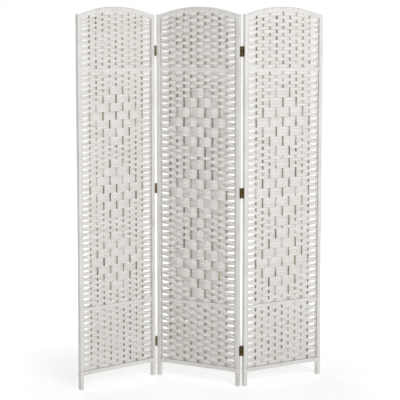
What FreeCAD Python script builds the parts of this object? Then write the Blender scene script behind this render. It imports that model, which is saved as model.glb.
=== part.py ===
import FreeCAD, Part
import math
import os

# Folding room divider: three woven panels joined by two rows of butt hinges.
# Millimetres. Each panel is drawn in its own frame: X runs from its left edge (0) to its right
# edge, Y = 0 is its middle plane with the front face towards -Y, and Z = 0 is the floor.
# The panels are then turned about their hinge pins into the zig-zag that the screen stands in.

# Panel
PANEL_WIDTH = 432.0
PANEL_HEIGHT = 1700.0          # floor to the top of the binding at the crown
CROWN_RISE = 32.0              # rise of the arched rail above the stile tops
STILE_SIZE = 17.5              # square section of the stiles and legs
STILE_ROUND = 1.2
RAIL_RECESS = 1.0              # rails lie this far behind the stile faces
RAIL_ROUND = 1.5
ARCH_RAIL_HEIGHT = 19.0
ARCH_RAIL_CHAMFER = 1.2
BOTTOM_RAIL_HEIGHT = 18.0
LEG_HEIGHT = 64.0              # floor to the underside of the bottom rail
CROSSBAR_HEIGHT = 16.0
CROSSBAR_WALL = 2.0            # wood in front of and behind the thickest upright in a crossbar
CROSSBAR_ROUND = 0.8
CROSSBAR_TENON = 8.0           # length let into each stile
MORTISE_CLEARANCE = 0.05
LOWER_CROSSBAR_Z = 360.0       # centre line above the floor
UPPER_CROSSBAR_DROP = 246.0    # centre line below the stile tops

# Warp and weave
STAKE_COUNT = 9
STAKE_DIAMETER = 5.5
STAKE_SOCKET = 8.0             # depth of the blind holes in the rails
EDGE_ROD_DIAMETER = 6.0
EDGE_ROD_GAP = 3.5             # stile to the edge rod
EDGE_ROD_SOCKET = 3.0          # shallow, because a dowel lies beyond it
EDGE_BAY = 44.0                # edge rod to the first stake
CORD_THICKNESS = 2.2
WEAVE_SLACK = 0.3
SOFT_GAP = 0.3                 # clear space round the soft pieces
STAKE_CLEARANCE = 0.1

# Binding on the arched rail, and lashings on the two lower corners
BINDING_THICKNESS = 1.4
BINDING_LENGTH = 230.0
LASHING_THICKNESS = 1.6
LASHING_DROP = 6.0             # reach down the leg below the bottom rail
LASHING_REACH = 26.0           # reach along the bottom rail from the stile

# Dowels
DOWEL_DIAMETER = 6.0
DOWEL_LENGTH = 24.0
DOWEL_CLEARANCE = 0.05
DOWEL_END_GAP = 0.5

# Hinges
HINGE_HEIGHT = 45.0
LEAF_WIDTH = 16.0              # pin centre to the free edge
LEAF_THICKNESS = 1.6
LEAF_CORNER = 2.5
BARREL_DIAMETER = 7.0
BARREL_STANDOFF = 0.1          # barrel clear of the panel's face
PANEL_GAP = 4.0                # stile to stile with the screen opened flat
KNUCKLE_COUNT = 5
KNUCKLE_GAP = 0.25
LEAF_TO_BARREL = 0.3
PIN_DIAMETER = 3.0
PIN_CLEARANCE = 0.05
PIN_HEAD_DIAMETER = 5.2
PIN_HEAD_HEIGHT = 1.2
PIN_HEAD_GAP = 0.1
HINGE_LOW_Z = 161.0            # hinge centres above the floor
HINGE_MIDDLE_Z = 875.0
HINGE_TOP_DROP = 163.0         # top hinge centre below the stile tops
SCREW_DIAMETER = 3.0
SCREW_HEAD_DIAMETER = 5.6
SCREW_LENGTH = 12.0
SCREW_CLEARANCE = 0.05
SCREW_INSET = 9.0              # screw centre from the end of the leaf
SLOT_WIDTH = 0.8
SLOT_DEPTH = 0.5

# Standing pose, in degrees
MIDDLE_TURN = -30.4            # middle panel, turned from the row's X axis
LEFT_FOLD = 72.0               # left panel, turned towards the front from flat
RIGHT_FOLD = 64.2              # right panel, turned towards the back from flat

# Worked out from the sizes above
HALF_STILE = STILE_SIZE / 2
RAIL_DEPTH = STILE_SIZE - 2 * RAIL_RECESS
INNER_LEFT = STILE_SIZE
INNER_RIGHT = PANEL_WIDTH - STILE_SIZE
CENTRE_X = PANEL_WIDTH / 2
STILE_HEIGHT = PANEL_HEIGHT - BINDING_THICKNESS - CROWN_RISE
BOTTOM_RAIL_TOP = LEG_HEIGHT + BOTTOM_RAIL_HEIGHT
UPPER_CROSSBAR_Z = STILE_HEIGHT - UPPER_CROSSBAR_DROP
HALF_SPAN = (INNER_RIGHT - INNER_LEFT) / 2
ARCH_RADIUS = (HALF_SPAN ** 2 + CROWN_RISE ** 2) / (2 * CROWN_RISE)
ARCH_CENTRE_Z = STILE_HEIGHT + CROWN_RISE - ARCH_RADIUS
ARCH_INNER_RADIUS = ARCH_RADIUS - ARCH_RAIL_HEIGHT
THICKEST_UPRIGHT = max(STAKE_DIAMETER, EDGE_ROD_DIAMETER)
CROSSBAR_DEPTH = THICKEST_UPRIGHT + 2 * CROSSBAR_WALL
WEAVE_THICKNESS = THICKEST_UPRIGHT + 2 * CORD_THICKNESS + 2 * WEAVE_SLACK
WEAVE_TOP_RADIUS = ARCH_INNER_RADIUS - BINDING_THICKNESS - 2 * SOFT_GAP
EDGE_ROD_INSET = STILE_SIZE + EDGE_ROD_GAP + EDGE_ROD_DIAMETER / 2   # panel's edge to its centre line
STAKE_PITCH = (PANEL_WIDTH - 2 * EDGE_ROD_INSET - 2 * EDGE_BAY) / (STAKE_COUNT - 1)
BARREL_RADIUS = BARREL_DIAMETER / 2
LEAF_SEAT = PANEL_GAP / 2      # pin centre line to the stile's edge face
AXIS_PROUD = BARREL_RADIUS + BARREL_STANDOFF
KNUCKLE_HEIGHT = (HINGE_HEIGHT - (KNUCKLE_COUNT - 1) * KNUCKLE_GAP) / KNUCKLE_COUNT
SCREW_ALONG_LEAF = (AXIS_PROUD + LEAF_WIDTH) / 2
HINGE_HEIGHTS = {
    "lower": HINGE_LOW_Z,
    "middle": HINGE_MIDDLE_Z,
    "upper": STILE_HEIGHT - HINGE_TOP_DROP,
}

X_AXIS = FreeCAD.Vector(1, 0, 0)
Y_AXIS = FreeCAD.Vector(0, 1, 0)
Z_AXIS = FreeCAD.Vector(0, 0, 1)


def box(x0, x1, y0, y1, z0, z1):
    """Block between two opposite corners."""
    return Part.makeBox(x1 - x0, y1 - y0, z1 - z0, FreeCAD.Vector(x0, y0, z0))


def upright(x, y, z0, z1, diameter):
    """Round bar along Z."""
    return Part.makeCylinder(diameter / 2, z1 - z0, FreeCAD.Vector(x, y, z0), Z_AXIS)


def crossways(x0, x1, z, diameter):
    """Round bar along X in the panel's middle plane."""
    return Part.makeCylinder(diameter / 2, x1 - x0, FreeCAD.Vector(x0, 0, z), X_AXIS)


def arc_height(radius, x):
    """Height at x of an arc that shares the arched rail's centre."""
    return ARCH_CENTRE_Z + math.sqrt(radius ** 2 - (x - CENTRE_X) ** 2)


def arc_edge(radius, x0, x1):
    """Arc from x0 to x1 about the arched rail's centre."""
    points = [FreeCAD.Vector(x, 0, arc_height(radius, x)) for x in (x0, (x0 + x1) / 2, x1)]
    return Part.Arc(*points).toShape()


def upright_slab(edges, depth):
    """Closed outline in the XZ plane, thickened evenly about the panel's middle plane."""
    face = Part.Face(Part.Wire(edges))
    face.translate(FreeCAD.Vector(0, -depth / 2, 0))
    return face.extrude(FreeCAD.Vector(0, depth, 0))


def line(x0, z0, x1, z1):
    """Straight edge in the XZ plane."""
    return Part.makeLine(FreeCAD.Vector(x0, 0, z0), FreeCAD.Vector(x1, 0, z1))


def arch_band(outer_radius, inner_radius, x0, x1, depth):
    """Bowed bar between two arcs, cut off upright at x0 and x1."""
    edges = [
        arc_edge(outer_radius, x0, x1),
        line(x1, arc_height(outer_radius, x1), x1, arc_height(inner_radius, x1)),
        arc_edge(inner_radius, x1, x0),
        line(x0, arc_height(inner_radius, x0), x0, arc_height(outer_radius, x0)),
    ]
    return upright_slab(edges, depth)


def long_edges(shape, shortest):
    """Edges of a bar that run its whole length."""
    return [edge for edge in shape.Edges if edge.Length > shortest]


def warp_bar(x, diameter, socket, extra):
    """One upright of the warp, grown by extra on the radius, let into both rails by its socket."""
    low = BOTTOM_RAIL_TOP - socket
    high = arc_height(ARCH_INNER_RADIUS, x) + socket
    return upright(x, 0, low - extra, high + extra, diameter + 2 * extra)


def stakes(extra):
    """The stakes, grown by extra on the radius."""
    first = EDGE_ROD_INSET + EDGE_BAY
    places = [first + index * STAKE_PITCH for index in range(STAKE_COUNT)]
    return [warp_bar(x, STAKE_DIAMETER, STAKE_SOCKET, extra) for x in places]


def edge_rods(extra):
    """The two painted rods beside the stiles, grown by extra on the radius."""
    places = (EDGE_ROD_INSET, PANEL_WIDTH - EDGE_ROD_INSET)
    return [warp_bar(x, EDGE_ROD_DIAMETER, EDGE_ROD_SOCKET, extra) for x in places]


def warp_bars(extra):
    """The stakes and the edge rods together, to make room for them in what they pass through."""
    return stakes(extra) + edge_rods(extra)


def dowels(extra, end_extra):
    """One dowel at each rail end, half in the stile and half in the rail."""
    arch_end = (arc_height(ARCH_RADIUS, INNER_LEFT) + arc_height(ARCH_INNER_RADIUS, INNER_LEFT)) / 2
    half = DOWEL_LENGTH / 2 + end_extra
    bars = []
    for z in (LEG_HEIGHT + BOTTOM_RAIL_HEIGHT / 2, arch_end):
        for x in (INNER_LEFT, INNER_RIGHT):
            bars.append(crossways(x - half, x + half, z, DOWEL_DIAMETER + 2 * extra))
    return bars


def dowel_holes():
    return dowels(DOWEL_CLEARANCE, DOWEL_END_GAP)


def stile_blank(x0):
    """Square post with eased edges, not yet drilled."""
    post = box(x0, x0 + STILE_SIZE, -HALF_STILE, HALF_STILE, 0, STILE_HEIGHT)
    return post.makeFillet(STILE_ROUND, post.Edges)


def bottom_blank():
    """Straight bottom rail with its long edges eased, not yet drilled."""
    half = RAIL_DEPTH / 2
    bar = box(INNER_LEFT, INNER_RIGHT, -half, half, LEG_HEIGHT, BOTTOM_RAIL_TOP)
    return bar.makeFillet(RAIL_ROUND, long_edges(bar, HALF_SPAN))


def crossbar_blank(z, extra):
    """Crossbar with its tenons, grown by extra all round to make the mortises."""
    x0 = INNER_LEFT - CROSSBAR_TENON - extra
    x1 = INNER_RIGHT + CROSSBAR_TENON + extra
    y = CROSSBAR_DEPTH / 2 + extra
    half = CROSSBAR_HEIGHT / 2 + extra
    bar = box(x0, x1, -y, y, z - half, z + half)
    return bar.makeFillet(CROSSBAR_ROUND, long_edges(bar, HALF_SPAN))


def arch_blank():
    """Bowed top rail with its long edges chamfered, not yet drilled."""
    bar = arch_band(ARCH_RADIUS, ARCH_INNER_RADIUS, INNER_LEFT, INNER_RIGHT, RAIL_DEPTH)
    return bar.makeChamfer(ARCH_RAIL_CHAMFER, long_edges(bar, HALF_SPAN))


def drilled(bar):
    """A rail or crossbar with its holes for the warp and the dowels."""
    return bar.cut(Part.makeCompound(warp_bars(STAKE_CLEARANCE) + dowel_holes()))


def weave_slab(z0, z1):
    """Plain closed solid that holds the space of a woven field, with holes for the warp."""
    half = WEAVE_THICKNESS / 2
    slab = box(INNER_LEFT + SOFT_GAP, INNER_RIGHT - SOFT_GAP, -half, half, z0 + SOFT_GAP, z1 - SOFT_GAP)
    return slab.cut(Part.makeCompound(warp_bars(SOFT_GAP)))


def top_weave():
    """The woven field under the arch, with a bowed top edge."""
    x0 = INNER_LEFT + SOFT_GAP
    x1 = INNER_RIGHT - SOFT_GAP
    z0 = UPPER_CROSSBAR_Z + CROSSBAR_HEIGHT / 2 + SOFT_GAP
    z1 = arc_height(WEAVE_TOP_RADIUS, x0)
    edges = [
        line(x0, z0, x1, z0),
        line(x1, z0, x1, z1),
        arc_edge(WEAVE_TOP_RADIUS, x1, x0),
        line(x0, z1, x0, z0),
    ]
    return upright_slab(edges, WEAVE_THICKNESS).cut(Part.makeCompound(warp_bars(SOFT_GAP)))


def arch_binding():
    """Sleeve of cord wound round the middle of the arched rail."""
    x0 = CENTRE_X - BINDING_LENGTH / 2
    x1 = CENTRE_X + BINDING_LENGTH / 2
    outer = ARCH_RADIUS + BINDING_THICKNESS
    inner = ARCH_INNER_RADIUS - BINDING_THICKNESS
    sleeve = arch_band(outer, inner, x0, x1, RAIL_DEPTH + 2 * BINDING_THICKNESS)
    return sleeve.cut(arch_blank()).cut(Part.makeCompound(warp_bars(SOFT_GAP)))


def corner_lashing():
    """Cord wound round a leg and the end of the bottom rail, at the left corner."""
    wrap = LASHING_THICKNESS
    side = HALF_STILE + wrap
    collar = box(-wrap, STILE_SIZE + wrap, -side, side, LEG_HEIGHT - LASHING_DROP, BOTTOM_RAIL_TOP)
    sleeve = box(STILE_SIZE, STILE_SIZE + LASHING_REACH, -side, side, LEG_HEIGHT - wrap, BOTTOM_RAIL_TOP)
    wound = collar.fuse(sleeve).removeSplitter()
    return wound.cut(stile_blank(0)).cut(bottom_blank())


def countersunk_screw(y, z, extra):
    """Screw driven along +X into an edge at X = 0, through a leaf in front of it."""
    radius = SCREW_DIAMETER / 2 + extra
    head_radius = SCREW_HEAD_DIAMETER / 2 + extra
    cone_height = head_radius - radius
    start = FreeCAD.Vector(-LEAF_THICKNESS, y, z)
    head = Part.makeCone(head_radius, radius, cone_height, start, X_AXIS)
    shank = Part.makeCylinder(radius, SCREW_LENGTH + extra, start, X_AXIS)
    return head.fuse(shank).removeSplitter()


def screw_places():
    """Heights of the screws, measured from the middle of the hinge."""
    offset = HINGE_HEIGHT / 2 - SCREW_INSET
    return [-offset, offset]


def screw_slot(y, z):
    """Straight driver slot across a screw's head."""
    x0 = -LEAF_THICKNESS
    half = SLOT_WIDTH / 2
    reach = SCREW_HEAD_DIAMETER / 2 + 1
    return box(x0 - 1, x0 + SLOT_DEPTH, y - reach, y + reach, z - half, z + half)


def leaf(owns_first):
    """Hinge leaf on an edge at X = LEAF_SEAT, with the pin along Z through the origin.

    The leaf that owns the first knuckle has the odd ones, and its mate has the even ones.
    """
    x0 = LEAF_SEAT - LEAF_THICKNESS
    x1 = LEAF_SEAT
    start = BARREL_RADIUS + LEAF_TO_BARREL
    half = HINGE_HEIGHT / 2
    plate = box(x0, x1, start, LEAF_WIDTH, -half, half)
    free_corners = [edge for edge in plate.Edges
                    if abs(edge.CenterOfMass.y - LEAF_WIDTH) < 1e-6
                    and abs(abs(edge.CenterOfMass.z) - half) < 1e-6]
    plate = plate.makeFillet(LEAF_CORNER, free_corners)
    pieces = [plate]
    first = 0 if owns_first else 1
    for index in range(first, KNUCKLE_COUNT, 2):
        z0 = -half + index * (KNUCKLE_HEIGHT + KNUCKLE_GAP)
        z1 = z0 + KNUCKLE_HEIGHT
        pieces.append(upright(0, 0, z0, z1, BARREL_DIAMETER))
        pieces.append(box(x0, x1, 0, start, z0, z1))
    bore = upright(0, 0, -half - 1, half + 1, PIN_DIAMETER + 2 * PIN_CLEARANCE)
    return pieces[0].multiFuse(pieces[1:]).removeSplitter().cut(bore)


def hinge_pin():
    """Pin with a flat round head at each end."""
    half = HINGE_HEIGHT / 2 + PIN_HEAD_GAP
    pin = upright(0, 0, -half, half, PIN_DIAMETER)
    top = upright(0, 0, half, half + PIN_HEAD_HEIGHT, PIN_HEAD_DIAMETER)
    foot = upright(0, 0, -half - PIN_HEAD_HEIGHT, -half, PIN_HEAD_DIAMETER)
    return pin.multiFuse([top, foot]).removeSplitter()


def leaf_screws(extra):
    """Screws of one leaf that lies on an edge at X = LEAF_SEAT."""
    screws = []
    for z in screw_places():
        screw = countersunk_screw(SCREW_ALONG_LEAF, z, extra)
        if extra == 0:
            screw = screw.cut(screw_slot(SCREW_ALONG_LEAF, z))
        screw.translate(FreeCAD.Vector(LEAF_SEAT, 0, 0))
        screws.append(screw)
    return screws


def placed(shape, placement):
    """Copy of a shape, moved by a placement."""
    moved = shape.copy()
    moved.Placement = placement.multiply(moved.Placement)
    return moved


def turn(degrees):
    return FreeCAD.Placement(FreeCAD.Vector(0, 0, 0), FreeCAD.Rotation(Z_AXIS, degrees))


def shift(vector):
    return FreeCAD.Placement(vector, FreeCAD.Rotation())


# The left pins stand in front of the panels and the right pins behind them, so the left panel
# folds to the front and the right panel to the back. Both rows are drawn on the middle panel.
LEFT_PIN = FreeCAD.Vector(-LEAF_SEAT, -HALF_STILE - AXIS_PROUD, 0)
RIGHT_PIN = FreeCAD.Vector(PANEL_WIDTH + LEAF_SEAT, HALF_STILE + AXIS_PROUD, 0)
PANEL_STEP = FreeCAD.Vector(PANEL_WIDTH + PANEL_GAP, 0, 0)

# A leaf is drawn for the middle panel's left edge. Half a turn about the pin fits it to the
# middle panel's right edge, and a mirror image in the pin's YZ plane makes its mate.
LEFT_SEAT = shift(LEFT_PIN)
RIGHT_SEAT = shift(RIGHT_PIN).multiply(turn(180))


def mate(shape):
    """Mirror image of a leaf or its screws, for the panel on the other side of the gap."""
    return shape.mirror(FreeCAD.Vector(0, 0, 0), X_AXIS)


def seated(shapes, seat):
    """The shapes of one hinge repeated at the three heights of a row, as one flat list."""
    copies = []
    for z in HINGE_HEIGHTS.values():
        place = seat.multiply(shift(FreeCAD.Vector(0, 0, z)))
        copies += [placed(shape, place) for shape in shapes]
    return copies


def on_panel(shapes, offset):
    """Shapes drawn beside the middle panel, moved into another panel's own frame."""
    return [placed(shape, shift(offset)) for shape in shapes]


def panel_hinge_screws(name, extra):
    """All hinge screws of a panel, in that panel's own frame."""
    own = leaf_screws(extra)
    other = [mate(screw) for screw in own]
    if name == "left":
        return on_panel(seated(other, LEFT_SEAT), PANEL_STEP)
    if name == "right":
        return on_panel(seated(other, RIGHT_SEAT), -PANEL_STEP)
    return seated(own, LEFT_SEAT) + seated(own, RIGHT_SEAT)


def panel_nodes(name):
    """Every piece of one panel but its hinge leaves, in the panel's own frame."""
    holes = panel_hinge_screws(name, SCREW_CLEARANCE)
    mortises = [crossbar_blank(z, MORTISE_CLEARANCE) for z in (LOWER_CROSSBAR_Z, UPPER_CROSSBAR_Z)]
    stile_holes = Part.makeCompound(dowel_holes() + mortises + holes)
    half_bar = CROSSBAR_HEIGHT / 2
    left_lashing = corner_lashing()
    right_lashing = left_lashing.mirror(FreeCAD.Vector(CENTRE_X, 0, 0), X_AXIS)
    return {
        "left_stile": stile_blank(0).cut(stile_holes),
        "right_stile": stile_blank(INNER_RIGHT).cut(stile_holes),
        "arched_rail": drilled(arch_blank()),
        "arch_binding": arch_binding(),
        "bottom_rail": drilled(bottom_blank()),
        "upper_crossbar": drilled(crossbar_blank(UPPER_CROSSBAR_Z, 0)),
        "lower_crossbar": drilled(crossbar_blank(LOWER_CROSSBAR_Z, 0)),
        "stakes": Part.makeCompound(stakes(0)),
        "edge_rods": Part.makeCompound(edge_rods(0)),
        "top_weave": top_weave(),
        "diamond_weave": weave_slab(LOWER_CROSSBAR_Z + half_bar, UPPER_CROSSBAR_Z - half_bar),
        "bottom_weave": weave_slab(BOTTOM_RAIL_TOP, LOWER_CROSSBAR_Z - half_bar),
        "corner_lashings": Part.makeCompound([left_lashing, right_lashing]),
        "dowels": Part.makeCompound(dowels(0, 0)),
        "hinge_screws": Part.makeCompound(panel_hinge_screws(name, 0)),
    }


def hinge_leaves(owns_first):
    """A drilled leaf with the odd or the even knuckles."""
    return leaf(owns_first).cut(Part.makeCompound(leaf_screws(SCREW_CLEARANCE)))


def fold_about(pin, degrees):
    return shift(pin).multiply(turn(degrees)).multiply(shift(-pin))


def plan_corners(placement):
    """Outermost points of a panel in plan, which are on its corner lashings."""
    wrap = LASHING_THICKNESS
    side = HALF_STILE + wrap
    corners = [FreeCAD.Vector(x, y, 0) for x in (-wrap, PANEL_WIDTH + wrap) for y in (-side, side)]
    return [placement.multVec(corner) for corner in corners]


def panel_placements():
    """Where each panel stands, with the origin under the middle of the whole screen."""
    middle = turn(MIDDLE_TURN)
    left = middle.multiply(fold_about(LEFT_PIN, LEFT_FOLD)).multiply(shift(-PANEL_STEP))
    right = middle.multiply(fold_about(RIGHT_PIN, RIGHT_FOLD)).multiply(shift(PANEL_STEP))
    panels = {"left": left, "middle": middle, "right": right}
    corners = [corner for place in panels.values() for corner in plan_corners(place)]
    middle_x = (min(c.x for c in corners) + max(c.x for c in corners)) / 2
    middle_y = (min(c.y for c in corners) + max(c.y for c in corners)) / 2
    centring = shift(FreeCAD.Vector(-middle_x, -middle_y, 0))
    return {name: centring.multiply(place) for name, place in panels.items()}


def export(name, shape):
    shape.exportStep("parts/" + name + ".step")


def build():
    """Write every piece, and print the pins and a foot for the record."""
    os.makedirs("parts", exist_ok=True)
    panels = panel_placements()
    for name, place in panels.items():
        for node, shape in panel_nodes(name).items():
            export(name + "_panel_" + node, placed(shape, place))

    fixed = hinge_leaves(True)
    moving = mate(hinge_leaves(False))
    rows = [("left", LEFT_SEAT, PANEL_STEP), ("right", RIGHT_SEAT, -PANEL_STEP)]
    for side, seat, offset in rows:
        pins = seated([hinge_pin()], seat)
        export(side + "_hinge_pins", placed(Part.makeCompound(pins), panels["middle"]))
        for level, own, other in zip(HINGE_HEIGHTS, seated([fixed], seat), seated([moving], seat)):
            base = side + "_" + level + "_hinge_"
            export(base + "middle_leaf", placed(own, panels["middle"]))
            outer = on_panel([other], offset)[0]
            export(base + side + "_leaf", placed(outer, panels[side]))

    for side, pin in (("left", LEFT_PIN), ("right", RIGHT_PIN)):
        print(side, "pin", panels["middle"].multVec(pin))
    foot = FreeCAD.Vector(HALF_STILE, 0, 0)
    print("foot", panels["middle"].multVec(foot))
    print("stake pitch", STAKE_PITCH, "arch radius", ARCH_RADIUS)


build()
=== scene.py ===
import logging
import math
from dataclasses import dataclass
from enum import Enum
from functools import lru_cache

import bpy
import numpy as np
from mathutils import Matrix, Vector


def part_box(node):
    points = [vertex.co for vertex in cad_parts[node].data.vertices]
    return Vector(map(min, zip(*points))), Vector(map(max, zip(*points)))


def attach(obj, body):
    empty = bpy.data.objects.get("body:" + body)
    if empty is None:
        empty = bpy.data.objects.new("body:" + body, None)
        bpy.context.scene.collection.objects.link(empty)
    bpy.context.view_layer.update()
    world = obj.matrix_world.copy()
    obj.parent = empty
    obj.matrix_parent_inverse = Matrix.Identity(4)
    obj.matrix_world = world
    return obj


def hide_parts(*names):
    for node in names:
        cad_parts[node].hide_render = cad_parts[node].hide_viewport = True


# Looks of a folding room divider: three panels of white painted wood, woven with flat paper cord
# over split-wood stakes, and joined by two rows of butt hinges. Metres, in the frame's own axes.
# A panel is described in its own coordinates: X across it from its left edge, Y through it with
# the front towards -Y, and Z up from the floor.

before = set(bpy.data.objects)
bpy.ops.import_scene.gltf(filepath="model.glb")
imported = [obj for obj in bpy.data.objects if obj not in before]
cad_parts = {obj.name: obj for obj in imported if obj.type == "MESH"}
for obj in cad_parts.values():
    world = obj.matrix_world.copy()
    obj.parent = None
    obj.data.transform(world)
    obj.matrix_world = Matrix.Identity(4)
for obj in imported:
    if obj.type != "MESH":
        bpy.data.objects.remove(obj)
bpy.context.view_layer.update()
log = logging.getLogger("divider")

Colour = tuple[float, float, float, float]
Stops = tuple[tuple[float, Colour], ...]


def rgb(red: float, green: float, blue: float) -> Colour:
    """Opaque colour from three linear shares."""
    return (red, green, blue, 1.0)


def grey(share: float) -> Colour:
    """Neutral grey, for ramps that carry a number."""
    return rgb(share, share, share)


@lru_cache(maxsize=None)
def node_box(node: str) -> tuple[Vector, Vector]:
    """Lowest and highest corner of one piece of the frame, measured once."""
    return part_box(node)


def ease(share: np.ndarray) -> np.ndarray:
    """Smooth step from 0 to 1.

    Args:
        share: Places between the start (0) and the end (1) of the step, clipped to that range.

    Returns:
        Values that leave 0 and reach 1 with no corner.
    """
    inside = np.clip(share, 0.0, 1.0)
    return inside * inside * (3.0 - 2.0 * inside)


def deselect_all() -> None:
    """Leave object mode with nothing selected."""
    if bpy.context.object is not None and bpy.context.object.mode != "OBJECT":
        bpy.ops.object.mode_set(mode="OBJECT")
    bpy.ops.object.select_all(action="DESELECT")


def select_only(piece: bpy.types.Object) -> None:
    """Make one object the selected and active one."""
    deselect_all()
    piece.select_set(True)
    bpy.context.view_layer.objects.active = piece


def paint(piece: bpy.types.Object, material: bpy.types.Material) -> None:
    """Give an object one material in all its slots."""
    if not piece.material_slots:
        piece.data.materials.append(material)
    for slot in piece.material_slots:
        slot.material = material


class Recipe:
    """A material in the making: one Principled shader and the nodes that feed it."""

    def __init__(self, name: str) -> None:
        """Start a material.

        Args:
            name: Name of the finish.
        """
        self.material = bpy.data.materials.new(name)
        self.material.use_nodes = True
        self.nodes = self.material.node_tree.nodes
        self.shader = self.nodes["Principled BSDF"]

    def add(self, kind: str, inputs: dict | None = None, **settings) -> bpy.types.Node:
        """Add a node.

        Args:
            kind: Node type, without its ShaderNode prefix.
            inputs: Values for sockets, by name or number.
            **settings: Properties of the node itself.

        Returns:
            The new node.
        """
        node = self.nodes.new("ShaderNode" + kind)
        for key, value in settings.items():
            setattr(node, key, value)
        for socket, value in (inputs or {}).items():
            node.inputs[socket].default_value = value
        return node

    def link(self, source: bpy.types.NodeSocket, target: bpy.types.NodeSocket) -> None:
        """Join an output to an input."""
        self.material.node_tree.links.new(source, target)

    def object_space(self, turn: float, scale: tuple[float, float, float]) -> bpy.types.NodeSocket:
        """Object coordinates, turned about the upright axis and stretched.

        Args:
            turn: Angle of the piece's own X axis from the frame's X axis, in radians.
            scale: Pattern repeats per metre along the piece's X, Y and Z.

        Returns:
            The vector output.
        """
        place = self.add("TexCoord").outputs["Object"]
        turned = self.add("Mapping", {"Rotation": (0.0, 0.0, -turn)})
        stretched = self.add("Mapping", {"Scale": scale})
        self.link(place, turned.inputs["Vector"])
        self.link(turned.outputs["Vector"], stretched.inputs["Vector"])
        return stretched.outputs["Vector"]

    def along_cord(self, scale: tuple[float, float]) -> bpy.types.NodeSocket:
        """Coordinates that follow a cord: metres along it, and a share of its width.

        Args:
            scale: Pattern repeats per metre of length, and per width.

        Returns:
            The vector output.
        """
        place = self.add("UVMap", uv_map="UVMap").outputs["UV"]
        stretched = self.add("Mapping", {"Scale": (scale[0], scale[1], 1.0)})
        self.link(place, stretched.inputs["Vector"])
        return stretched.outputs["Vector"]

    def noise(self, vector: bpy.types.NodeSocket, scale: float, detail: float = 2.0) -> bpy.types.NodeSocket:
        """Cloudy pattern.

        Args:
            vector: Coordinates.
            scale: Size of the pattern, in repeats per unit.
            detail: Octaves of finer pattern.

        Returns:
            A number output around one half.
        """
        node = self.add("TexNoise", {"Scale": scale, "Detail": detail})
        self.link(vector, node.inputs["Vector"])
        return node.outputs["Fac"]

    def ramp(self, number: bpy.types.NodeSocket, stops: Stops) -> bpy.types.NodeSocket:
        """Turn a number into a colour.

        Args:
            number: Input from 0 to 1.
            stops: Places and their colours, in rising order.

        Returns:
            The colour output.
        """
        node = self.add("ValToRGB")
        elements = node.color_ramp.elements
        while len(elements) < len(stops):
            elements.new(0.5)
        for element, (place, colour) in zip(elements, stops):
            element.position = place
            element.color = colour
        self.link(number, node.inputs["Fac"])
        return node.outputs["Color"]

    def mix(
        self,
        share: bpy.types.NodeSocket | float,
        first: bpy.types.NodeSocket | Colour,
        second: bpy.types.NodeSocket | Colour,
        blend: str = "MIX",
    ) -> bpy.types.NodeSocket:
        """Blend two colours.

        Args:
            share: How much of the second colour shows, as a number or a number output.
            first: Colour or colour output.
            second: Colour or colour output.
            blend: Blend mode.

        Returns:
            The colour output.
        """
        node = self.add("Mix", data_type="RGBA", blend_type=blend)
        if isinstance(share, float):
            node.inputs["Factor"].default_value = share
        else:
            self.link(share, node.inputs["Factor"])
        for socket, value in (("A", first), ("B", second)):
            target = next(i for i in node.inputs if i.name == socket and i.type == "RGBA")
            if isinstance(value, tuple):
                target.default_value = value
            else:
                self.link(value, target)
        return next(o for o in node.outputs if o.type == "RGBA")

    def worn_edges(self, radius: float, flecks: bpy.types.NodeSocket) -> bpy.types.NodeSocket:
        """Mask of sharp edges, broken up by a pattern.

        Args:
            radius: How far from an edge the wear reaches.
            flecks: Number that breaks the wear up.

        Returns:
            A number output: 1 on worn edges and 0 elsewhere.
        """
        soft = self.add("Bevel", {"Radius": radius}, samples=4).outputs["Normal"]
        true = self.add("NewGeometry").outputs["Normal"]
        bend = self.add("VectorMath", operation="DOT_PRODUCT")
        self.link(soft, bend.inputs[0])
        self.link(true, bend.inputs[1])
        edge = self.add("Math", {0: 1.0}, operation="SUBTRACT")
        self.link(bend.outputs["Value"], edge.inputs[1])
        broken = self.add("Math", operation="MULTIPLY")
        self.link(edge.outputs[0], broken.inputs[0])
        self.link(flecks, broken.inputs[1])
        return self.ramp(broken.outputs[0], ((0.03, grey(0.0)), (0.09, grey(1.0))))

    def bump(self, heights: tuple[tuple[bpy.types.NodeSocket, float], ...]) -> None:
        """Raise the surface by one or more patterns.

        Args:
            heights: Number outputs, each with its height in metres.
        """
        normal = None
        for height, distance in heights:
            node = self.add("Bump", {"Strength": 1.0, "Distance": distance})
            self.link(height, node.inputs["Height"])
            if normal is not None:
                self.link(normal, node.inputs["Normal"])
            normal = node.outputs["Normal"]
        self.link(normal, self.shader.inputs["Normal"])

    def colour(self, source: bpy.types.NodeSocket) -> None:
        """Feed the shader's base colour."""
        self.link(source, self.shader.inputs["Base Color"])

    def constant(self, **values: float | Colour) -> None:
        """Set the shader's own sockets, with underscores for the spaces in their names."""
        for name, value in values.items():
            self.shader.inputs[name.replace("_", " ")].default_value = value


class Grain(Enum):
    """Which way the wood fibres run in a piece: the stretch of the pattern along X, Y and Z."""

    UPRIGHT = (1.0, 1.0, 0.045)
    ACROSS = (0.045, 1.0, 1.0)


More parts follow.
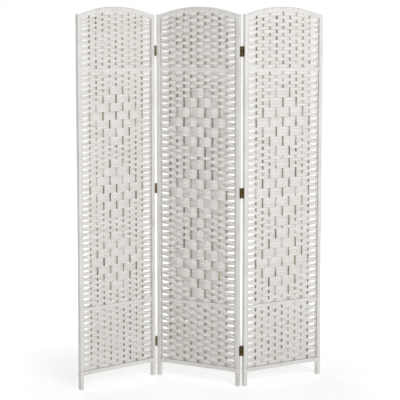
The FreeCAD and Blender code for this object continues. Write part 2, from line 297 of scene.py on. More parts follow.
@dataclass(frozen=True)
class PaintedWood:
    """Thin satin white paint over wood, with the grain just showing and bare wood at worn edges."""

    grain: Grain
    turn: float
    fresh: Colour = rgb(0.755, 0.745, 0.72)
    thin: Colour = rgb(0.68, 0.66, 0.63)
    bare: Colour = rgb(0.43, 0.33, 0.23)
    roughness: float = 0.48
    fibres_per_metre: float = 420.0
    fibre_height: float = 0.00012
    brush_height: float = 0.0001

    def material(self, name: str) -> bpy.types.Material:
        """Make the finish.

        Args:
            name: Name of the finish.

        Returns:
            The finished material.
        """
        recipe = Recipe(name)
        fibre_space = recipe.object_space(self.turn, self.grain.value)
        fibres = recipe.noise(fibre_space, self.fibres_per_metre, 3.0)
        brush = recipe.noise(fibre_space, self.fibres_per_metre / 4, 2.0)
        clouds = recipe.noise(recipe.object_space(self.turn, (1.0, 1.0, 1.0)), 9.0, 3.0)
        thinness = recipe.ramp(clouds, ((0.45, grey(0.0)), (0.75, grey(1.0))))
        coat = recipe.mix(thinness, self.fresh, self.thin)
        streaks = recipe.ramp(fibres, ((0.36, grey(0.90)), (0.5, grey(1.0))))
        streaked = recipe.mix(0.6, coat, streaks, "MULTIPLY")
        flecks = recipe.noise(recipe.object_space(self.turn, (1.0, 1.0, 1.0)), 170.0, 4.0)
        wear = recipe.worn_edges(0.0016, recipe.ramp(flecks, ((0.5, grey(0.0)), (0.62, grey(1.0)))))
        recipe.colour(recipe.mix(wear, streaked, self.bare))
        recipe.constant(Roughness=self.roughness)
        recipe.bump(((fibres, self.fibre_height), (brush, self.brush_height)))
        return recipe.material


@dataclass(frozen=True)
class PaperCord:
    """Flat twisted paper cord, painted matt white, with painted shade darkening the edges of each row where
    the rows meet.
    """

    fresh: Colour = rgb(0.775, 0.758, 0.73)
    thin: Colour = rgb(0.69, 0.665, 0.625)
    # Painted shade: the darker colour laid along each row's edges, where one row meets the next.
    crease_shade: Colour = rgb(0.48, 0.465, 0.44)
    roughness: float = 0.78
    plies_per_metre: float = 26.0
    plies_per_width: float = 7.0
    ply_height: float = 0.00035
    # How far the painted shade reaches in from each edge of the cord's width.
    crease_shade_stops: Stops = (
        (0.0, grey(0.7)), (0.1, grey(0.1)), (0.3, grey(0.0)),
        (0.7, grey(0.0)), (0.9, grey(0.1)), (1.0, grey(0.7)),
    )

    def material(self, name: str) -> bpy.types.Material:
        """Make the finish.

        Args:
            name: Name of the finish.

        Returns:
            The finished material.
        """
        recipe = Recipe(name)
        plies = recipe.noise(recipe.along_cord((self.plies_per_metre, self.plies_per_width)), 1.0, 3.0)
        fluff = recipe.noise(recipe.object_space(0.0, (1.0, 1.0, 1.0)), 900.0, 3.0)
        lengths = recipe.noise(recipe.along_cord((3.1, 0.2)), 1.0, 2.0)
        thinness = recipe.ramp(lengths, ((0.42, grey(0.0)), (0.72, grey(1.0))))
        coat = recipe.mix(thinness, self.fresh, self.thin)
        lined = recipe.mix(recipe.ramp(plies, ((0.30, grey(0.55)), (0.46, grey(0.0)))), coat, self.thin)
        across = recipe.add("SeparateXYZ")
        recipe.link(recipe.along_cord((1.0, 1.0)), across.inputs["Vector"])
        # Painted shade along both edges of each row, in the crease where it meets the next row.
        crease_shade_mask = recipe.ramp(across.outputs["Y"], self.crease_shade_stops)
        recipe.colour(recipe.mix(crease_shade_mask, lined, self.crease_shade))
        recipe.constant(Roughness=self.roughness)
        recipe.bump(((plies, self.ply_height), (fluff, self.ply_height / 3)))
        return recipe.material


@dataclass(frozen=True)
class BareWood:
    """Unpainted wood that runs upright, with some of the white paint washed over it."""

    light: Colour = rgb(0.50, 0.42, 0.29)
    dark: Colour = rgb(0.215, 0.185, 0.14)
    wash: Colour = rgb(0.72, 0.70, 0.66)
    wash_from: float = 0.47
    wash_to: float = 0.60
    fibres_per_metre: float = 900.0
    fibre_height: float = 0.0003
    roughness: float = 0.72

    def material(self, name: str) -> bpy.types.Material:
        """Make the finish.

        Args:
            name: Name of the finish.

        Returns:
            The finished material.
        """
        recipe = Recipe(name)
        fibres = recipe.noise(recipe.object_space(0.0, Grain.UPRIGHT.value), self.fibres_per_metre, 3.0)
        stake_tone = recipe.noise(recipe.object_space(0.0, (1.0, 1.0, 0.06)), 24.0, 1.0)
        patches = recipe.noise(recipe.object_space(0.0, (1.0, 1.0, 0.35)), 38.0, 3.0)
        wood = recipe.ramp(stake_tone, ((0.36, self.dark), (0.62, self.light)))
        streaks = recipe.ramp(fibres, ((0.35, grey(0.5)), (0.6, grey(1.0))))
        streaked = recipe.mix(0.8, wood, streaks, "MULTIPLY")
        washed = recipe.ramp(patches, ((self.wash_from, grey(0.0)), (self.wash_to, grey(0.9))))
        recipe.colour(recipe.mix(washed, streaked, self.wash))
        recipe.constant(Roughness=self.roughness)
        recipe.bump(((fibres, self.fibre_height),))
        return recipe.material


@dataclass(frozen=True)
class DarkBrass:
    """Brass with a dark brown patina, rubbed bright on its edges."""

    patina: Colour = rgb(0.10, 0.072, 0.035)
    worn_patina: Colour = rgb(0.26, 0.185, 0.085)
    rubbed: Colour = rgb(0.62, 0.46, 0.21)
    roughness: float = 0.36

    def material(self, name: str) -> bpy.types.Material:
        """Make the finish.

        Args:
            name: Name of the finish.

        Returns:
            The finished material.
        """
        recipe = Recipe(name)
        space = recipe.object_space(0.0, (1.0, 1.0, 1.0))
        clouds = recipe.noise(space, 130.0, 3.0)
        pits = recipe.noise(space, 1600.0, 2.0)
        tone = recipe.ramp(clouds, ((0.35, self.patina), (0.68, self.worn_patina)))
        wear = recipe.worn_edges(0.0007, recipe.ramp(clouds, ((0.3, grey(0.3)), (0.6, grey(1.0)))))
        recipe.colour(recipe.mix(wear, tone, self.rubbed))
        recipe.constant(Metallic=0.85, Roughness=self.roughness)
        recipe.bump(((pits, 0.00006),))
        return recipe.material


@dataclass(frozen=True)
class Wardrobe:
    """The finishes that all panels share."""

    cord: bpy.types.Material
    stakes: bpy.types.Material
    dowels: bpy.types.Material
    brass: bpy.types.Material

    @classmethod
    def stocked(cls) -> "Wardrobe":
        """Make every shared finish once."""
        pegs = BareWood(light=rgb(0.56, 0.40, 0.24), dark=rgb(0.42, 0.28, 0.16), wash_from=0.9, wash_to=0.98)
        return cls(
            cord=PaperCord().material("painted_paper_cord"),
            stakes=BareWood().material("washed_stake_wood"),
            dowels=pegs.material("beech_dowel"),
            brass=DarkBrass().material("dark_rubbed_brass"),
        )


@dataclass(frozen=True)
class PanelFrame:
    """Where a panel stands and how large its parts are, read from its own pieces of the frame."""

    body: str
    stile: float = 0.0175
    edge_rod_gap: float = 0.0035
    edge_bay: float = 0.044
    stake_count: int = 9
    stake_diameter: float = 0.0055
    edge_rod_diameter: float = 0.006
    arch_rail: float = 0.019
    rail_recess: float = 0.001

    def middle_of(self, node: str) -> Vector:
        """Middle of one of the panel's pieces, at floor level."""
        low, high = node_box(f"{self.body}_{node}")
        middle = (low + high) / 2
        return Vector((middle.x, middle.y, 0.0))

    def bottom(self, node: str) -> float:
        """Height of the underside of one of the panel's pieces."""
        return node_box(f"{self.body}_{node}")[0].z

    def top(self, node: str) -> float:
        """Height of the top of one of the panel's pieces."""
        return node_box(f"{self.body}_{node}")[1].z

    @property
    def across(self) -> Vector:
        """The panel's own X axis."""
        return (self.middle_of("right_stile") - self.middle_of("left_stile")).normalized()

    @property
    def turn(self) -> float:
        """Angle of the panel's X axis from the frame's X axis."""
        return math.atan2(self.across.y, self.across.x)

    @property
    def width(self) -> float:
        """Outside width over both stiles."""
        span = self.middle_of("right_stile") - self.middle_of("left_stile")
        return span.length + self.stile

    def placement(self) -> Matrix:
        """Matrix from the panel's own coordinates to the frame."""
        origin = self.middle_of("left_stile") - self.across * self.stile / 2
        return Matrix.Translation(origin) @ Matrix.Rotation(self.turn, 4, "Z")

    def ribs(self) -> np.ndarray:
        """X of the two edge rods and of the stakes between them, from left to right."""
        rod = self.stile + self.edge_rod_gap + self.edge_rod_diameter / 2
        first = rod + self.edge_bay
        stakes = np.linspace(first, self.width - first, self.stake_count)
        return np.concatenate(([rod], stakes, [self.width - rod]))

    def arch_radius(self) -> float:
        """Radius of the top of the bowed rail."""
        half_span = self.width / 2 - self.stile
        rise = self.top("arched_rail") - self.top("left_stile")
        return (half_span**2 + rise**2) / (2 * rise)

    def arch_height(self, across: np.ndarray, inset: float) -> np.ndarray:
        """Height of a line that runs along the bowed rail.

        Args:
            across: X places in the panel.
            inset: Distance below the rail's top surface.

        Returns:
            Heights above the floor.
        """
        centre = self.top("arched_rail") - self.arch_radius()
        return centre + np.sqrt((self.arch_radius() - inset) ** 2 - (across - self.width / 2) ** 2)


@dataclass(frozen=True)
class FlatCord:
    """Flat paper cord, thickest along its middle."""

    thickness: float
    fullness: tuple[float, ...] = (0.35, 0.8, 1.0, 0.8, 0.35)

    def lay(self, name: str, centres: np.ndarray, halves: np.ndarray) -> bpy.types.Object:
        """Lay the cord along a route.

        A grid is added with one column for each point of the route and one row for each line along
        the cord. Its points are put on the route, and Solidify gives it its section.

        Args:
            name: Name of the piece.
            centres: Points of the cord's middle line, one row each.
            halves: Vectors from the middle line to the cord's edge, one row each.

        Returns:
            The laid cord.
        """
        columns = len(centres) - 1
        lines = len(self.fullness) - 1
        deselect_all()
        bpy.ops.mesh.primitive_grid_add(x_subdivisions=columns, y_subdivisions=lines, size=2.0)
        cord = bpy.context.object
        cord.name = name
        mesh = cord.data
        mesh.name = name
        flat = np.empty(len(mesh.vertices) * 3)
        mesh.vertices.foreach_get("co", flat)
        flat = flat.reshape(-1, 3)
        column = np.rint((flat[:, 0] + 1) / 2 * columns).astype(int)
        line = np.rint((flat[:, 1] + 1) / 2 * lines).astype(int)
        share = line / lines * 2 - 1
        laid = centres[column] + halves[column] * share[:, None]
        mesh.vertices.foreach_set("co", laid.ravel())
        self._mark_length(mesh, centres, column, line / lines)
        self._thicken(cord, line)
        bpy.ops.object.shade_smooth_by_angle(angle=math.radians(50))
        return cord

    def _mark_length(
        self, mesh: bpy.types.Mesh, centres: np.ndarray, column: np.ndarray, across: np.ndarray
    ) -> None:
        """Write metres along the cord and the share of its width into the UV map.

        Args:
            mesh: The laid grid.
            centres: Points of the middle line.
            column: Which point of the route each vertex belongs to.
            across: Share of the width at which each vertex lies.
        """
        steps = np.linalg.norm(np.diff(centres, axis=0), axis=1)
        along = np.concatenate(([0.0], np.cumsum(steps)))
        corners = np.empty(len(mesh.loops), dtype=np.int64)
        mesh.loops.foreach_get("vertex_index", corners)
        place = np.stack((along[column[corners]], across[corners]), axis=1)
        mesh.uv_layers[0].name = "UVMap"
        mesh.uv_layers[0].data.foreach_set("uv", place.ravel())

    def _thicken(self, cord: bpy.types.Object, line: np.ndarray) -> None:
        """Give the laid grid its thickness, less towards its edges."""
        group = cord.vertex_groups.new(name="fullness")
        for number, share in enumerate(self.fullness):
            group.add(np.flatnonzero(line == number).tolist(), share, "REPLACE")
        solid = cord.modifiers.new("thickness", "SOLIDIFY")
        solid.thickness = self.thickness
        solid.offset = 0.0
        solid.vertex_group = group.name
        select_only(cord)
        bpy.ops.object.modifier_apply(modifier=solid.name)
        cord.vertex_groups.clear()


def set_in_place(piece: bpy.types.Object, placement: Matrix) -> None:
    """Turn a piece from its panel's coordinates into the frame's, with its object at the origin."""
    select_only(piece)
    piece.matrix_world = placement
    bpy.ops.object.transform_apply(location=True, rotation=True, scale=True)


def hand_over(piece: bpy.types.Object, body: str, node: str, material: bpy.types.Material) -> None:
    """Dress a cord piece, ride it on its body and let it stand for its node.

    Args:
        piece: The finished piece, in place.
        body: Body that it moves with.
        node: Piece of the frame that it stands for.
        material: Its finish.
    """
    paint(piece, material)
    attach(piece, body)
    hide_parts(node)
    log.info("%s: %d faces", piece.name, len(piece.data.polygons))


class Draft(Enum):
    """Weave of a field."""

    PLAIN = "over one, under one"
    DIAMONDS = "a column of stepped diamonds on plain weave"


@dataclass(frozen=True)
class WovenField:
    """One woven field of a panel: a single cord that zigzags from the top row to the bottom row.

    The rows run straight across the ribs, which are the stakes and the two edge rods. At an edge
    rod the cord narrows, closes up to the row it turns into, and leaves a wedge-shaped opening
    towards the next pair of rows.
    """

    name: str
    panel: PanelFrame
    low: float
    high: float
    rows: int
    draft: Draft
    filler: int = 1
    under_arch: bool = False
    seed: int = 1
    cord: FlatCord = FlatCord(thickness=0.0022)
    lead: int = 5
    figure_rows: int = 21
    figure_step: int = 3
    figures: int = 3
    bay_steps: tuple[float, ...] = (0.0, 0.06, 0.14, 0.32, 0.5, 0.68, 0.86, 0.94)
    bend_share: float = 0.12
    wedge_power: float = 1.6
    steps_per_turn: int = 8
    snug: float = 0.985
    edge_share: float = 0.69
    arch_gap: float = 0.0022
    fanned_rows: int = 6
    row_lift: float = 0.018
    row_fill: tuple[float, float] = (0.955, 1.0)

    @property
    def pitch(self) -> float:
        """Height of one row."""
        return (self.high - self.low) / self.rows

    def place_in_figure(self, row: int) -> int | None:
        """Row counted from the top of its diamond, or None on a plain row."""
        if self.draft is Draft.PLAIN:
            return None
        figure, place = divmod(row - self.lead, self.figure_rows + self.filler)
        inside = 0 <= figure < self.figures and place < self.figure_rows
        return place if inside else None

    def passes_behind(self, row: int, rib: int) -> bool:
        """Whether the cord goes behind a rib, so that the stake shows.

        Args:
            row: Row, from 0 at the top.
            rib: Rib, from 0 at the left edge rod.

        Returns:
            True behind, False in front.
        """
        middle = (self.panel.stake_count + 1) // 2
        reach = abs(rib - middle)
        place = self.place_in_figure(row)
        if place is not None:
            step = place // self.figure_step
            centre_step = self.figure_rows // self.figure_step // 2
            if abs(step - centre_step) <= centre_step + 1 - max(reach, 1):
                return (step + reach) % 2 == 1
        return (row - self.lead + reach) % 2 == 1

    def depth(self, row: int, rib: int) -> float:
        """Y of the cord's middle line where it passes a rib."""
        at_edge = rib in (0, self.panel.stake_count + 1)
        bar = self.panel.edge_rod_diameter if at_edge else self.panel.stake_diameter
        away = (bar + self.cord.thickness) / 2
        return away if self.passes_behind(row, rib) else -away

    def tight_swing(self, share: np.ndarray) -> np.ndarray:
        """How the pulled-tight cord crosses from one side of the ribs to the other.

        Args:
            share: Places between one rib (0) and the next (1).

        Returns:
            Share of the way across: straight, with a short bend at each rib.
        """
        bend = self.bend_share
        scale = 2.0 * bend * (1.0 - bend)
        straight = (share - bend / 2) / (1.0 - bend)
        leaving = share**2 / scale
        arriving = 1.0 - (1.0 - share) ** 2 / scale
        return np.where(share < bend, leaving, np.where(share > 1.0 - bend, arriving, straight))

    def turns_left(self, row: int) -> bool:
        """Whether the cord runs from right to left in a row: those rows are in front at the rods."""
        return not self.passes_behind(row, 0)

    def run(self, row: int) -> tuple[np.ndarray, np.ndarray]:
        """Plan of one row.

        Args:
            row: Row, from 0 at the top.

        Returns:
            X and Y of the points from one edge rod to the other, in the direction of travel.
        """
        ribs = self.panel.ribs()
        depths = np.array([self.depth(row, rib) for rib in range(len(ribs))])
        share = np.array(self.bay_steps)
        swing = self.tight_swing(share)
        across = (ribs[:-1, None] + np.diff(ribs)[:, None] * share).ravel()
        through = (depths[:-1, None] + np.diff(depths)[:, None] * swing).ravel()
        across = np.append(across, ribs[-1])
        through = np.append(through, depths[-1])
        if self.turns_left(row):
            return across[::-1], through[::-1]
        return across, through

    def turn(self, row: int) -> tuple[np.ndarray, np.ndarray, np.ndarray]:
        """Half-turn round the edge rod at the end of a row.

        Args:
            row: The row that ends here.

        Returns:
            X, Y and the share of the way down to the next row, between the two rows' end points.
        """
        ribs = self.panel.ribs()
        rod, outward = (ribs[0], -1.0) if self.turns_left(row) else (ribs[-1], 1.0)
        away = (self.panel.edge_rod_diameter + self.cord.thickness) / 2
        from_front = -1.0 if self.turns_left(row) else 1.0
        angle = np.linspace(0.0, math.pi, self.steps_per_turn + 1)[1:-1]
        across = rod + outward * away * np.sin(angle)
        through = from_front * away * np.cos(angle)
        return across, through, ease(angle / math.pi)

    def nearness(self, across: np.ndarray, left_side: bool) -> np.ndarray:
        """How close points are to one edge rod.

        Args:
            across: X places.
            left_side: The left rod if True, else the right one.

        Returns:
            1 at the rod and beyond it, falling to 0 at the first stake.
        """
        ribs = self.panel.ribs()
        distance = across - ribs[0] if left_side else ribs[-1] - across
        return 1.0 - np.clip(distance / self.panel.edge_bay, 0.0, 1.0) ** self.wedge_power

    def level(self, row: int, across: np.ndarray) -> tuple[np.ndarray, np.ndarray]:
        """Height of a row and half of its cord's width, before the fan under the arch.

        Args:
            row: Row, from 0 at the top.
            across: X places.

        Returns:
            Heights of the middle line, and half widths.
        """
        left = self.nearness(across, True)
        right = self.nearness(across, False)
        towards_next = 1.0 if self.turns_left(row) else -1.0
        drift = towards_next * (right - left) * self.pitch * (1.0 - self.edge_share) / 2
        height = self.high - (row + 0.5) * self.pitch + drift
        narrow = 1.0 - (1.0 - self.edge_share) * (left + right)
        return height, narrow * self.pitch * self.snug / 2

    def fanned(self, across: np.ndarray, height: np.ndarray) -> np.ndarray:
        """Press heights in the topmost rows together where the arch comes down towards the stiles."""
        if not self.under_arch:
            return height
        start = self.high - self.fanned_rows * self.pitch
        ceiling = self.panel.arch_height(across, self.panel.arch_rail + self.arch_gap)
        share = (ceiling - start) / (self.high - start)
        return np.where(height > start, start + (height - start) * share, height)

    def route(self) -> tuple[np.ndarray, np.ndarray]:
        """The whole cord from the first row to the last.

        Returns:
            Points of the middle line and vectors to the cord's edge, in the panel's coordinates.
        """
        uneven = np.random.default_rng(self.seed)
        lift = uneven.normal(0.0, self.row_lift, self.rows) * self.pitch
        fill = uneven.uniform(*self.row_fill, self.rows)
        stretches = []
        for row in range(self.rows):
            across, through = self.run(row)
            height, half = self.level(row, across)
            stretches.append((across, through, height + lift[row], half * fill[row]))
            if row == self.rows - 1:
                break
            across, through, share = self.turn(row)
            here, half_here = self.level(row, across)
            there, half_there = self.level(row + 1, across)
            height = (here + lift[row]) * (1.0 - share) + (there + lift[row + 1]) * share
            half = (half_here * fill[row]) * (1.0 - share) + (half_there * fill[row + 1]) * share
            stretches.append((across, through, height, half))
        across, through, height, half = (np.concatenate(parts) for parts in zip(*stretches))
        upper = self.fanned(across, height + half)
        lower = self.fanned(across, height - half)
        centres = np.stack((across, through, (upper + lower) / 2), axis=1)
        halves = np.zeros_like(centres)
        halves[:, 2] = (upper - lower) / 2
        return centres, halves

    def build(self, material: bpy.types.Material) -> bpy.types.Object:
        """Weave the field.

        Args:
            material: Finish of the cord.

        Returns:
            The finished piece.
        """
        node = f"{self.panel.body}_{self.name}"
        piece = self.cord.lay(f"{node}_cord", *self.route())
        set_in_place(piece, self.panel.placement())
        hand_over(piece, self.panel.body, node, material)
        return piece


def wrap_section(half_depth: float, half_height: float, corner: float) -> np.ndarray:
    """One turn of a cord round a bar, as points of a rectangle with round corners.

    Args:
        half_depth: Distance from the bar's middle to the cord in front of it.
        half_height: Distance from the bar's middle to the cord above it.
        corner: Radius of the cord's bend at the bar's edges.

    Returns:
        Depth and height of each point, from the middle of the underside round by the front.
    """
    centres = ((-1, -1, 270), (-1, 1, 180), (1, 1, 90), (1, -1, 0))
    points = [(0.0, -half_height)]
    for side, level, start in centres:
        for step in range(4):
            angle = math.radians(start - step * 30)
            depth = side * (half_depth - corner) + corner * math.cos(angle)
            height = level * (half_height - corner) + corner * math.sin(angle)
            points.append((depth, height))
    return np.array(points)


def wound(turns: int, section: np.ndarray, first: float, step: float) -> tuple[np.ndarray, np.ndarray]:
    """Lay several turns of a section side by side.

    Args:
        turns: Number of turns.
        section: Depth and height of the points of one turn.
        first: Place of the first turn along the bar.
        step: Distance from turn to turn.

    Returns:
        Place along the bar of each point, and its depth and height.
    """
    around = np.tile(section, (turns, 1))
    around = np.vstack((around, section[:1]))
    along = first + step * np.arange(len(around)) / len(section)
    return along, around


@dataclass(frozen=True)
class ArchBinding:
    """Flat cord wound round the middle of the bowed rail, each turn a little slanted."""

    panel: PanelFrame
    seed: int
    length: float = 0.230
    turns: int = 15
    standoff: float = 0.0007
    corner: float = 0.0022
    slip: float = 0.0009
    slip_every: int = 8
    turn_fill: tuple[float, float] = (0.90, 0.99)
    cord: FlatCord = FlatCord(thickness=0.0014, fullness=(0.3, 0.9, 1.0, 0.9, 0.3))

    def build(self, material: bpy.types.Material) -> bpy.types.Object:
        """Wind the binding.

        Args:
            material: Finish of the cord.

        Returns:
            The finished piece.
        """
        panel = self.panel
        half_depth = panel.stile / 2 - panel.rail_recess + self.standoff
        half_height = panel.arch_rail / 2 + self.standoff
        section = wrap_section(half_depth, half_height, self.corner)
        width = self.length / self.turns
        step = width * (self.turns - 1) / self.turns
        along, around = wound(self.turns, section, (width - self.length) / 2, step)
        uneven = np.random.default_rng(self.seed)
        marks = np.arange(0, len(along) + self.slip_every, self.slip_every)
        slip = np.interp(np.arange(len(along)), marks, uneven.normal(0.0, self.slip, len(marks)))
        middle_radius = panel.arch_radius() - panel.arch_rail / 2
        angle = (along + slip) / middle_radius
        radius = middle_radius + around[:, 1]
        centre_z = panel.top("arched_rail") - panel.arch_radius()
        across = panel.width / 2 + radius * np.sin(angle)
        centres = np.stack((across, around[:, 0], centre_z + radius * np.cos(angle)), axis=1)
        tangent = np.stack((np.cos(angle), np.zeros_like(angle), -np.sin(angle)), axis=1)
        share = uneven.uniform(*self.turn_fill, len(angle) // len(section) + 1)
        halves = tangent * (width / 2) * np.repeat(share, len(section))[: len(angle), None]
        node = f"{panel.body}_arch_binding"
        piece = self.cord.lay(f"{node}_cord", centres, halves)
        set_in_place(piece, panel.placement())
        hand_over(piece, panel.body, node, material)
        return piece


@dataclass(frozen=True)
class CornerLashings:
    """Flat cord that ties the ends of the bottom rail to the legs.

    At each corner two bands go round the leg and end under two turns round the rail.
    """

    panel: PanelFrame
    thickness: float = 0.0012
    band_width: float = 0.0108
    band_levels: tuple[tuple[float, float, float], ...] = (
        (0.0700, 0.0638, 0.0672),
        (0.0752, 0.0752, 0.0762),
    )
    level_places: tuple[float, ...] = (0.0, 0.22, 0.5, 0.78, 1.0)
    rail_turns: int = 2
    rail_reach: float = 0.026
    tuck: float = 0.012
    step_half: float = 0.0015
    corner: float = 0.0022

    def band(self, levels: tuple[float, float, float]) -> tuple[np.ndarray, np.ndarray]:
        """One band round a leg.

        Args:
            levels: Heights at the rail in front, at the outside of the leg, and at the rail behind.

        Returns:
            Points of the middle line and vectors to the edge, at the panel's left corner.
        """
        panel = self.panel
        on_leg = panel.stile / 2 + self.thickness / 2
        on_rail = on_leg - panel.rail_recess
        plan = [
            (panel.stile + self.tuck, -on_rail),
            (panel.stile + self.step_half, -on_rail),
            (panel.stile - self.step_half, -on_leg),
        ]
        for step in range(5):
            angle = math.radians(270 - step * 22.5)
            x = self.corner - self.thickness / 2 + self.corner * math.cos(angle)
            plan.append((x, -on_leg + self.corner + self.corner * math.sin(angle)))
        plan += [(x, -y) for x, y in reversed(plan)]
        plan = np.array(plan)
        lengths = np.concatenate(([0.0], np.cumsum(np.linalg.norm(np.diff(plan, axis=0), axis=1))))
        share = lengths / lengths[-1]
        front, outside, behind = levels
        height = np.interp(share, self.level_places, (front, front, outside, behind, behind))
        centres = np.column_stack((plan, height))
        halves = np.zeros_like(centres)
        halves[:, 2] = self.band_width / 2
        return centres, halves

    def rail_wrap(self) -> tuple[np.ndarray, np.ndarray]:
        """The turns round the rail, over the ends of the bands, at the panel's left corner."""
        panel = self.panel
        low, high = panel.bottom("bottom_rail"), panel.top("bottom_rail")
        half_depth = panel.stile / 2 - panel.rail_recess + 1.4 * self.thickness
        section = wrap_section(half_depth, (high - low) / 2 + self.thickness / 2, self.corner)
        width = self.rail_reach / self.rail_turns
        along, around = wound(self.rail_turns, section, panel.stile + width / 2, width / self.rail_turns)
        centres = np.column_stack((along, around[:, 0], (low + high) / 2 + around[:, 1]))
        halves = np.zeros_like(centres)
        halves[:, 0] = width * 0.49
        return centres, halves

    def build(self, material: bpy.types.Material) -> bpy.types.Object:
        """Tie both corners.

        Args:
            material: Finish of the cord.

        Returns:
            The finished piece.
        """
        cord = FlatCord(thickness=self.thickness, fullness=(0.3, 0.9, 1.0, 0.9, 0.3))
        routes = [self.band(levels) for levels in self.band_levels] + [self.rail_wrap()]
        parts = []
        for centres, halves in routes:
            for side in (1.0, -1.0):
                mirrored = centres.copy()
                mirrored[:, 0] = self.panel.width / 2 + side * (centres[:, 0] - self.panel.width / 2)
                parts.append(cord.lay("lashing_part", mirrored, halves * (side, 1.0, 1.0)))
        deselect_all()
        for part in parts:
            part.select_set(True)
        bpy.context.view_layer.objects.active = parts[0]
        bpy.ops.object.join()
        piece = bpy.context.object
        node = f"{self.panel.body}_corner_lashings"
        piece.name = f"{node}_cord"
        set_in_place(piece, self.panel.placement())
        hand_over(piece, self.panel.body, node, material)
        return piece


@dataclass(frozen=True)
class Panel:
    """One panel: its woven cord pieces, and the finishes of its wooden pieces."""

    body: str
    top_rows: int
    middle_rows: int
    bottom_rows: int
    filler: int
    seed: int
    end_gap: float = 0.0005
    arch_gap: float = 0.0022

    def fields(self, panel: PanelFrame) -> list[WovenField]:
        """The three woven fields, between the rails and the crossbars.

        Args:
            panel: Where the panel stands.

        Returns:
            The fields from top to bottom.
        """
        crown = panel.top("arched_rail") - panel.arch_rail - self.arch_gap
        return [
            WovenField(
                name="top_weave", panel=panel, low=panel.top("upper_crossbar") + self.end_gap, high=crown,
                rows=self.top_rows, draft=Draft.PLAIN, under_arch=True, seed=self.seed,
            ),
            WovenField(
                name="diamond_weave", panel=panel, low=panel.top("lower_crossbar") + self.end_gap,
                high=panel.bottom("upper_crossbar") - self.end_gap, rows=self.middle_rows,
                draft=Draft.DIAMONDS, filler=self.filler, seed=self.seed + 1,
            ),
            WovenField(
                name="bottom_weave", panel=panel, low=panel.top("bottom_rail") + self.end_gap,
                high=panel.bottom("lower_crossbar") - self.end_gap, rows=self.bottom_rows,
                draft=Draft.PLAIN, seed=self.seed + 2,
            ),
        ]

    def dress(self, panel: PanelFrame, finishes: Wardrobe) -> None:
        """Give the panel's wooden pieces their finishes.

        Args:
            panel: Where the panel stands.
            finishes: The shared finishes.
        """
        upright = PaintedWood(Grain.UPRIGHT, panel.turn).material(f"{self.body}_painted_uprights")
        across = PaintedWood(Grain.ACROSS, panel.turn).material(f"{self.body}_painted_rails")
        choices = {
            "left_stile": upright,
            "right_stile": upright,
            "arched_rail": across,
            "bottom_rail": across,
            "upper_crossbar": across,
            "lower_crossbar": across,
            "edge_rods": upright,
            "stakes": finishes.stakes,
            "dowels": finishes.dowels,
            "hinge_screws": finishes.brass,
        }
        for node, material in choices.items():
            paint(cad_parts[f"{self.body}_{node}"], material)

    def build(self, finishes: Wardrobe) -> None:
        """Weave, bind, lash and dress the panel."""
        panel = PanelFrame(self.body)
        for field in self.fields(panel):
            field.build(finishes.cord)
        ArchBinding(panel, self.seed + 3).build(finishes.cord)
        CornerLashings(panel).build(finishes.cord)
        self.dress(panel, finishes)


@dataclass(frozen=True)
class HingeRow:
    """The three butt hinges between the middle panel and one of its neighbours."""

    side: str

    def build(self, finishes: Wardrobe) -> None:
        """Give the leaves and pins their finish."""
        names = [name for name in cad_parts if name.startswith(f"{self.side}_") and "hinge" in name]
        for name in names:
            if "panel" not in name:
                paint(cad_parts[name], finishes.brass)
        log.info("%s hinges: dressed", self.side)


@dataclass(frozen=True)
class Lamp:
    """A square soft light: its name, where it stands, the length of its sides and its watts."""

    name: str
    place: tuple[float, float, float]
    size: float
    energy: float


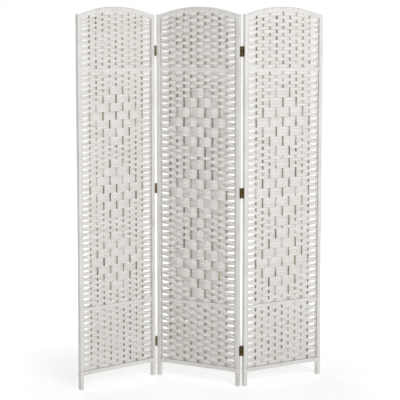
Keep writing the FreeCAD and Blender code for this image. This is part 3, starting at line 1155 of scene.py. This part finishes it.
@dataclass(frozen=True)
class Studio:
    """Camera, lights, pale floor and white surroundings."""

    camera_place: tuple[float, float, float] = (0.0266, -6.459, 1.622)
    camera_pitch: float = 6.15
    camera_turn: float = 0.31
    lens: float = 129.93
    shift_y: float = -0.05
    ambient: float = 0.15
    lamps: tuple[Lamp, ...] = (
        Lamp("key", (2.9, -5.4, 3.6), 3.0, 200.0),
        Lamp("back", (-2.6, 5.4, 3.6), 3.0, 110.0),
        Lamp("overhead", (0.0, 0.0, 4.6), 3.0, 32.0),
    )
    lamp_aim: tuple[float, float, float] = (0.0, 0.0, 0.8)
    floor_glow: float = 0.60
    glow_from: float = 0.5
    glow_to: float = 2.2
    floor_size: float = 40.0

    def camera(self) -> None:
        """Set up the camera."""
        data = bpy.data.cameras.new("camera")
        data.lens = self.lens
        data.sensor_width = 36.0
        data.shift_y = self.shift_y
        camera = bpy.data.objects.new("camera", data)
        camera.location = self.camera_place
        camera.rotation_euler = (math.radians(90.0 - self.camera_pitch), 0.0, math.radians(self.camera_turn))
        bpy.context.scene.collection.objects.link(camera)
        bpy.context.scene.camera = camera

    def soft_light(self, lamp: Lamp) -> None:
        """Set up one lamp, facing the middle of the screen.

        Args:
            lamp: The lamp.
        """
        data = bpy.data.lights.new(lamp.name, "AREA")
        data.size = lamp.size
        data.energy = lamp.energy
        light = bpy.data.objects.new(lamp.name, data)
        light.location = lamp.place
        aim = Vector(self.lamp_aim) - Vector(lamp.place)
        light.rotation_euler = aim.to_track_quat("-Z", "Y").to_euler()
        bpy.context.scene.collection.objects.link(light)

    def surroundings(self) -> None:
        """White backdrop to the eye, and a weaker even light on the object."""
        world = bpy.data.worlds.new("white_studio")
        bpy.context.scene.world = world
        world.use_nodes = True
        nodes, links = world.node_tree.nodes, world.node_tree.links
        background = nodes["Background"]
        background.inputs["Color"].default_value = rgb(1.0, 1.0, 1.0)
        seen = nodes.new("ShaderNodeLightPath").outputs["Is Camera Ray"]
        strength = nodes.new("ShaderNodeMapRange")
        strength.inputs["To Min"].default_value = self.ambient
        strength.inputs["To Max"].default_value = 1.0
        links.new(seen, strength.inputs["Value"])
        links.new(strength.outputs["Result"], background.inputs["Strength"])

    def floor_finish(self) -> bpy.types.Material:
        """Pale matt floor that brightens into the white surroundings away from the screen."""
        recipe = Recipe("pale_floor")
        place = recipe.object_space(0.0, (1.0, 1.0, 0.0))
        distance = recipe.add("VectorMath", operation="LENGTH")
        recipe.link(place, distance.inputs[0])
        reach = {"From Min": self.glow_from, "From Max": self.glow_to}
        glow = {**reach, "To Min": self.floor_glow, "To Max": 1.0}
        fade = recipe.add("MapRange", glow, interpolation_type="SMOOTHSTEP")
        recipe.link(distance.outputs["Value"], fade.inputs["Value"])
        recipe.link(fade.outputs["Result"], recipe.shader.inputs["Emission Strength"])
        recipe.constant(Base_Color=rgb(0.6, 0.6, 0.6), Roughness=0.9, Emission_Color=rgb(1.0, 1.0, 1.0))
        return recipe.material

    def floor(self) -> None:
        """Lay the floor."""
        deselect_all()
        bpy.ops.mesh.primitive_plane_add(size=self.floor_size, location=(0.0, 0.0, 0.0))
        floor = bpy.context.object
        floor.name = "studio_floor"
        paint(floor, self.floor_finish())

    def build(self) -> None:
        """Set up the lights, the surroundings and the floor."""
        scene = bpy.context.scene
        scene.view_settings.view_transform = "Standard"
        for lamp in self.lamps:
            self.soft_light(lamp)
        self.surroundings()
        self.floor()
        log.info("studio: camera, three lights, floor and surroundings")


def main() -> None:
    """Build the looks in order."""
    logging.basicConfig(level=logging.INFO, format="%(message)s")
    studio = Studio()
    studio.camera()
    finishes = Wardrobe.stocked()
    panels = (
        Panel("left_panel", top_rows=20, middle_rows=83, bottom_rows=20, filler=5, seed=10),
        Panel("middle_panel", top_rows=17, middle_rows=71, bottom_rows=17, filler=1, seed=20),
        Panel("right_panel", top_rows=16, middle_rows=72, bottom_rows=17, filler=1, seed=30),
    )
    for panel in panels:
        panel.build(finishes)
        log.info("%s: done", panel.body)
    for side in ("left", "right"):
        HingeRow(side).build(finishes)
    studio.build()


if __name__ == "__main__":
    main()
